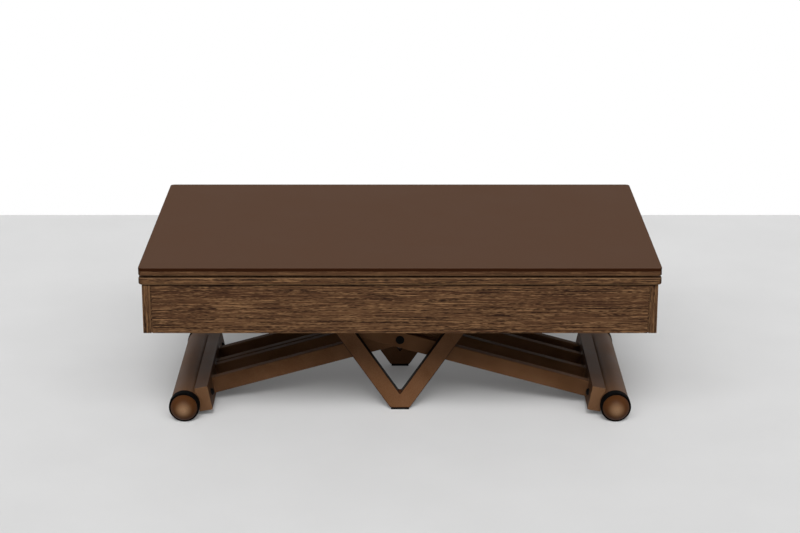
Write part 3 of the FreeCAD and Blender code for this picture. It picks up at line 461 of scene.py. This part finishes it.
    # Painted shade darkens a leaf's short ends and the arris that lies in the joint between the leaves
    if leaf:
        end = add(tree, "MapRange", {"Value": parts["X"], "From Min": 0.4, "From Max": 0.7, "To Max": 0.75})
        joint_arris_shade = add(tree, "MapRange", {"Value": normal["Z"], "From Min": 0.55, "From Max": 0.75,
                                        "To Max": 0.9})
        arris = add(tree, "MapRange", {"Value": largest.outputs[0], "From Min": 0.998, "From Max": 0.985})
        joint_arris_shade = add(tree, "Math", {0: joint_arris_shade.outputs[0], 1: arris.outputs[0]}, operation="MULTIPLY")
        dark = add(tree, "Math", {0: end.outputs[0], 1: joint_arris_shade.outputs[0]}, operation="MAXIMUM")
        colour = add(tree, "Mix", {0: dark.outputs[0], 6: colour.outputs[2], 7: linear("#2b1a0d")},
                     data_type="RGBA")
    tree.links.new(colour.outputs[2], shader.inputs["Base Color"])
    dull = add(tree, "MapRange", {"Value": pores, "From Min": 0.3, "From Max": 0.7,
                                  "To Min": 0.75, "To Max": 0.52})
    tree.links.new(dull.outputs[0], shader.inputs["Roughness"])
    sunk = add(tree, "Math", {0: 1.0, 1: open_pore.outputs[0]}, operation="SUBTRACT")
    bump = add(tree, "Bump", {"Height": sunk.outputs[0], "Strength": 0.5, "Distance": pore_depth})
    tree.links.new(bump.outputs[0], shader.inputs["Normal"])
    return material


oak_long = oak("dark_oak_veneer_lengthwise", "X", "X", "Y", leaf=True)
oak_short = oak("dark_oak_veneer_crosswise", "Y", "Y", "Z")
oak_fine = oak("dark_oak_veneer_fine", "X", "X", "Y", leaf=True, figure=0.45)
finish_nodes(oak_long, "front_apron", "rear_apron", "lower_leaf")
finish_nodes(oak_fine, "upper_board")
finish_nodes(oak_short, "left_apron", "right_apron")

# Buffers between the leaves
# Two small moulded rubber buttons near the front corners, let into the lower leaf.
# The upper board rests on them when the top is folded.
BUFFER = turned((("round", 9, -0.5), ("round", 9, 3), ("round", 8, 3.9), ("round", 6, 4.1)))
BUFFER_ACROSS, BUFFER_FRONT, LEAF_TOP = 560, -326, 404.6
buttons = [skin(aimed(BUFFER, (end * BUFFER_ACROSS, BUFFER_FRONT, LEAF_TOP), (0, 0, 1))) for end in (-1, 1)]
new_piece("leaf_buffers", buttons, rubber, "sliding_leaf")

# Corner blocks
# Planed beech, glued into the corners of the apron box and held by a screw through each slanted face.
# Beech is pale and even, with short darker flecks along the grain, drawn coarser than they are.
beech, tree, shader = new_material("beech_planed", {"IOR": 1.5, "Specular IOR Level": 0.3, "Roughness": 0.6})
FLECK_LENGTH, FLECK_WIDTH, FLECK_DEPTH = 9 * MM, 1.4 * MM, 0.1 * MM
place = add(tree, "TexCoord").outputs["Object"]
stretched = add(tree, "VectorMath", {0: place, 1: (1 / FLECK_WIDTH, 1 / FLECK_WIDTH, 1 / FLECK_LENGTH)},
                operation="MULTIPLY")
fleck = add(tree, "TexNoise", {"Vector": stretched.outputs[0], "Scale": 1.0, "Detail": 3.0})
colour = add(tree, "Mix", {0: fleck.outputs[0], 6: linear("#a98258"), 7: linear("#d3b388")}, data_type="RGBA")
bump = add(tree, "Bump", {"Height": fleck.outputs[0], "Strength": 0.3, "Distance": FLECK_DEPTH})
tree.links.new(colour.outputs[2], shader.inputs["Base Color"])
tree.links.new(bump.outputs[0], shader.inputs["Normal"])
finish_nodes(beech, "corner_blocks")

# Block screws
# Zinc plated countersunk screws with a cross recess, one in the slanted face of each corner block.
BLOCK_SCREW = turned((("round", 4, -4), ("round", 9, -0.2), ("round", 9, 0.25), ("cross", 5, 0.25),
                      ("cross", 3.4, -1.6)))
BLOCK_CORNER, BLOCK_SIDE, BLOCK_MIDDLE = (574, 324), 45, 339.9
screws = []
for end in (-1, 1):
    for front in (-1, 1):
        across, deep = (corner - BLOCK_SIDE / 2 for corner in BLOCK_CORNER)
        seat = (end * across, front * deep, BLOCK_MIDDLE)
        screws.append(skin(aimed(BLOCK_SCREW, seat, (-end, -front, 0))))
new_piece("block_screws", screws, zinc, "top_frame")

# Glide strips
# Pressed felt strips glued on the end boards, that the lower leaf slides on.
# Felt is dull and mottled; its fibres are drawn coarser than real ones so that they show.
felt, tree, shader = new_material("felt_pressed", {"Roughness": 1.0, "Specular IOR Level": 0.1})
FELT_FIBRE, FIBRE_DEPTH = 1.1 * MM, 0.3 * MM
place = add(tree, "TexCoord").outputs["Object"]
fibre = add(tree, "TexNoise", {"Vector": place, "Scale": 1 / FELT_FIBRE, "Detail": 4.0, "Distortion": 1.5})
colour = add(tree, "Mix", {0: fibre.outputs[0], 6: linear("#221d1a"), 7: linear("#4a413b")}, data_type="RGBA")
bump = add(tree, "Bump", {"Height": fibre.outputs[0], "Strength": 0.8, "Distance": FIBRE_DEPTH})
tree.links.new(colour.outputs[2], shader.inputs["Base Color"])
tree.links.new(bump.outputs[0], shader.inputs["Normal"])
finish_nodes(felt, "glide_strips")

# Rails, V feet and their brackets
# Folded and flat cut steel, coated with the same bronze as the scissor frames.
# The cut edges of the V feet are softened by hand, and painted shade darkens them.
finish_nodes(bronze, "front_rail", "rear_rail", "rail_end_angles", "v_brackets")
v_bronze = bronze_coat("bronze_powder_coat_flat_cut", "#5b3d25", "#725038", 0.5, rim="#140b06", rim_start=0.9,
                       rim_bend=1.0)
finish_nodes(v_bronze, "front_v_foot", "rear_v_foot")
finish_nodes(rubber, "v_foot_pads")

# Notch welds
# A weld in the notch of each V foot, dressed to a hollow and coated over in a darker coat that is painted shade;
# its ends are drawn in.
NOTCH_HEIGHT, NOTCH_LEAN = 41.63, 0.6847
WELD_HEIGHT, WELD_HOLLOW = 7.0, 1.4
# Each section's place along the depth, and its share of the full height
WELD_ENDS = ((138.0, 0.55), (138.8, 0.9), (140.5, 1.0), (151.5, 1.0), (153.2, 0.9), (154.0, 0.55))
welds = []
for out in (-1, 1):
    rings = []
    for depth, share in WELD_ENDS:
        height = WELD_HEIGHT * share
        wide = height * NOTCH_LEAN
        rings.append([(across, out * depth, NOTCH_HEIGHT + rise) for across, rise in (
            (-wide - 0.5, height), (-wide / 2, height - 0.7 * WELD_HOLLOW), (0, height - WELD_HOLLOW),
            (wide / 2, height - 0.7 * WELD_HOLLOW), (wide + 0.5, height), (0.8, -0.6), (-0.8, -0.6))])
    welds.append(skin(rings))
weld_bronze = bronze_coat("bronze_powder_coat_over_weld_painted_shade", "#3a2011", "#472a19", 0.6)
new_piece("notch_welds", welds, weld_bronze, "top_frame")

# Screws and bolts of the rail angles
# Zinc plated pan head screws hold the angles to the end boards, and hexagon bolts hold them to the rails.
ANGLE_SCREW = turned((("round", 4, -2), ("round", 4, 0), ("round", 8, 0), ("round", 8, 1), ("round", 6.8, 2.2),
                      ("round", 5.4, 2.6), ("cross", 4.4, 2.6), ("cross", 3.2, 1.2)))
ANGLE_BOLT = turned((("round", 6, -2), ("round", 6, 0), ("hex", 10, 0), ("hex", 10, 3.6), ("round", 9.4, 4),
                     ("round", 7, 4.2)))
RAIL_MIDDLE, ANGLE_FACE, ANGLE_BACK = 315.6, 571, 202
SCREW_LINES, BOLT_LINES = (213, 229), (545, 560)
screws, bolts = [], []
for end in (-1, 1):
    for out in (-1, 1):
        screws += [skin(aimed(ANGLE_SCREW, (end * ANGLE_FACE, out * line, RAIL_MIDDLE), (-end, 0, 0)))
                   for line in SCREW_LINES]
        bolts += [skin(aimed(ANGLE_BOLT, (end * line, out * ANGLE_BACK, RAIL_MIDDLE), (0, out, 0)))
                  for line in BOLT_LINES]
new_piece("angle_screws", screws, zinc, "top_frame")
new_piece("angle_bolts", bolts, zinc, "top_frame")

# Runners and book hinges
# Zinc plated steel: rolled channels and bars, and folded hinges with a pin through their knuckles.
# Three countersunk screws hold each half of a hinge to the edge of its leaf.
finish_nodes(zinc, "runner_channels", "runner_bars", "hinge_lower_halves", "hinge_upper_halves", "hinge_pins")
HINGE_SCREW = turned((("round", 2, -1.4), ("round", 4.8, -0.1), ("round", 4.8, 0.15), ("cross", 2.8, 0.15),
                      ("cross", 2, -0.8)))
HINGE_LINES, HINGE_SCREWS = (-420, 0, 420), (-26, 0, 26)
HINGE_FACE, FOLD_HEIGHT, SCREW_DROP = 344.4, 406.7, 6.9
for leaf, height in (("sliding_leaf", FOLD_HEIGHT - SCREW_DROP), ("folding_leaf", FOLD_HEIGHT + SCREW_DROP)):
    screws = [skin(aimed(HINGE_SCREW, (line + aside, HINGE_FACE, height), (0, 1, 0)))
              for line in HINGE_LINES for aside in HINGE_SCREWS]
    new_piece(leaf + "_hinge_screws", screws, zinc, leaf)

# Top sheet
# Toughened glass, satin etched on top and painted brown behind, with a ground edge.
# It shows one even brown with a soft sheen, and a darker edge; the etching is drawn coarser than it is.
glass, tree, shader = new_material("brown_glass_satin_etched", {"IOR": 1.5, "Specular IOR Level": 0.005})
ETCH_GRAIN, ETCH_DEPTH = 1.3 * MM, 0.02 * MM
WIPE_SIZE = 120 * MM
coordinates = add(tree, "TexCoord")
etch = add(tree, "TexNoise", {"Vector": coordinates.outputs["Object"], "Scale": 1 / ETCH_GRAIN, "Detail": 2.0})
wipe = add(tree, "TexNoise", {"Vector": coordinates.outputs["Object"], "Scale": 1 / WIPE_SIZE, "Detail": 2.0})
up = add(tree, "SeparateXYZ", {0: coordinates.outputs["Normal"]}).outputs["Z"]
is_face = add(tree, "MapRange", {"Value": up, "From Min": 0.6, "From Max": 0.95})
paint = add(tree, "Mix", {0: wipe.outputs[0], 6: linear("#553e30"), 7: linear("#584133")}, data_type="RGBA")
colour = add(tree, "Mix", {0: is_face.outputs[0], 6: linear("#2d170b"), 7: paint.outputs[2]}, data_type="RGBA")
dull = add(tree, "MapRange", {"Value": wipe.outputs[0], "From Min": 0.3, "From Max": 0.7,
                              "To Min": 0.46, "To Max": 0.56})
bump = add(tree, "Bump", {"Height": etch.outputs[0], "Strength": 0.15, "Distance": ETCH_DEPTH})
tree.links.new(colour.outputs[2], shader.inputs["Base Color"])
tree.links.new(dull.outputs[0], shader.inputs["Roughness"])
tree.links.new(bump.outputs[0], shader.inputs["Normal"])
finish_nodes(glass, "top_sheet")

# Studio floor and backdrop
# A plain pale floor that ends some way behind the table, and white beyond it.
# What the camera sees of it is paler than what lights the table from below.
FLOOR_NEAR, FLOOR_FAR, FLOOR_HALF = -6.0, 1.4775, 8.0
floor_mesh = bpy.data.meshes.new("floor")
floor_mesh.from_pydata([(-FLOOR_HALF, FLOOR_NEAR, 0), (FLOOR_HALF, FLOOR_NEAR, 0), (FLOOR_HALF, FLOOR_FAR, 0),
                        (-FLOOR_HALF, FLOOR_FAR, 0)], [], [(0, 1, 2, 3)])
floor = bpy.data.objects.new("floor", floor_mesh)
bpy.context.scene.collection.objects.link(floor)
floor_finish, tree, shader = new_material("pale_grey_floor", {"Roughness": 0.8, "Specular IOR Level": 0.0,
                                                              "Emission Color": (1, 1, 1, 1)})
FLOOR_GLOW = 0.08
FLOOR_MOTTLE = 250 * MM


def background_rays(tree):
    """One for a ray that shows the background: seen by the camera, mirrored, or through glass."""
    path = add(tree, "LightPath").outputs
    seen = add(tree, "Math", {0: path["Is Camera Ray"], 1: path["Is Glossy Ray"]}, operation="MAXIMUM")
    seen = add(tree, "Math", {0: seen.outputs[0], 1: path["Is Transmission Ray"]}, operation="MAXIMUM")
    return seen.outputs[0]


seen = background_rays(tree)
place = add(tree, "TexCoord").outputs["Object"]
mottle = add(tree, "TexNoise", {"Vector": place, "Scale": 1 / FLOOR_MOTTLE, "Detail": 3.0})
colour = add(tree, "Mix", {0: mottle.outputs[0], 6: linear("#cdcdcd"), 7: linear("#d6d6d6")}, data_type="RGBA")
colour = add(tree, "Mix", {0: seen, 6: linear("#a8a8a8"), 7: colour.outputs[2]}, data_type="RGBA")
glow = add(tree, "Math", {0: seen, 1: FLOOR_GLOW}, operation="MULTIPLY")
tree.links.new(colour.outputs[2], shader.inputs["Base Color"])
tree.links.new(glow.outputs[0], shader.inputs["Emission Strength"])
floor_mesh.materials.append(floor_finish)

# Studio light
# A white room with a wide soft box high in front, a low fill in front, a paler rear wall, and one soft far lamp.
# The background itself is plain white.
ROOM_LEVEL, SOFT_BOX_LEVEL, FILL_LEVEL, REAR_LEVEL = 0.2, 4.5, 0.4, 0.28
world = bpy.data.worlds.new("white_room")
bpy.context.scene.world = world
world.use_nodes = True
tree = world.node_tree
seen = background_rays(tree)
towards = add(tree, "SeparateXYZ", {0: add(tree, "TexCoord").outputs["Generated"]}).outputs
in_front = add(tree, "MapRange", {"Value": towards["Y"], "From Min": -0.42, "From Max": -0.58})
above = add(tree, "MapRange", {"Value": towards["Z"], "From Min": 0.47, "From Max": 0.53})
below = add(tree, "MapRange", {"Value": towards["Z"], "From Min": 0.85, "From Max": 0.79,
                               "To Max": SOFT_BOX_LEVEL})
box = add(tree, "Math", {0: above.outputs[0], 1: below.outputs[0]}, operation="MULTIPLY")
fill = add(tree, "MapRange", {"Value": towards["Z"], "From Min": 0.24, "From Max": 0.16, "To Max": FILL_LEVEL})
both = add(tree, "Math", {0: box.outputs[0], 1: fill.outputs[0]}, operation="ADD")
behind = add(tree, "MapRange", {"Value": towards["Y"], "From Min": 0.3, "From Max": 0.7, "To Min": ROOM_LEVEL,
                                "To Max": ROOM_LEVEL + REAR_LEVEL})
light = add(tree, "Math", {0: in_front.outputs[0], 1: both.outputs[0], 2: behind.outputs[0]},
            operation="MULTIPLY_ADD")
level = add(tree, "Mix", {0: seen, 2: light.outputs[0], 3: 1.0})
room = tree.nodes["Background"]
room.inputs["Color"].default_value = (1, 1, 1, 1)
tree.links.new(level.outputs[0], room.inputs["Strength"])

LAMP_HEIGHT = math.radians(43.4)
LAMP_SPREAD = math.radians(18)
LAMP_STRENGTH = 1.15
lamp_data = bpy.data.lights.new("soft_lamp", "SUN")
lamp_data.angle = LAMP_SPREAD
lamp_data.energy = LAMP_STRENGTH
lamp = bpy.data.objects.new("soft_lamp", lamp_data)
lamp.rotation_euler = (math.pi / 2 - LAMP_HEIGHT, 0, 0)
bpy.context.scene.collection.objects.link(lamp)

# Camera
# Straight in front of the table and a little above it, with a long lens.
# Its place, tilt and shift come from the photograph's vanishing point and frame.
CAMERA_PLACE = (0, -4.6809, 1.8685)
CAMERA_PITCH = math.radians(16.060)
CAMERA_LENS, CAMERA_SENSOR, CAMERA_SHIFT = 89.82, 36, -0.1
camera_data = bpy.data.cameras.new("camera")
camera_data.lens = CAMERA_LENS
camera_data.sensor_width = CAMERA_SENSOR
camera_data.shift_y = CAMERA_SHIFT
camera = bpy.data.objects.new("camera", camera_data)
camera.location = CAMERA_PLACE
camera.rotation_euler = (math.pi / 2 - CAMERA_PITCH, 0, 0)
bpy.context.scene.collection.objects.link(camera)
bpy.context.scene.camera = camera
bpy.context.scene.view_settings.view_transform = "Standard"
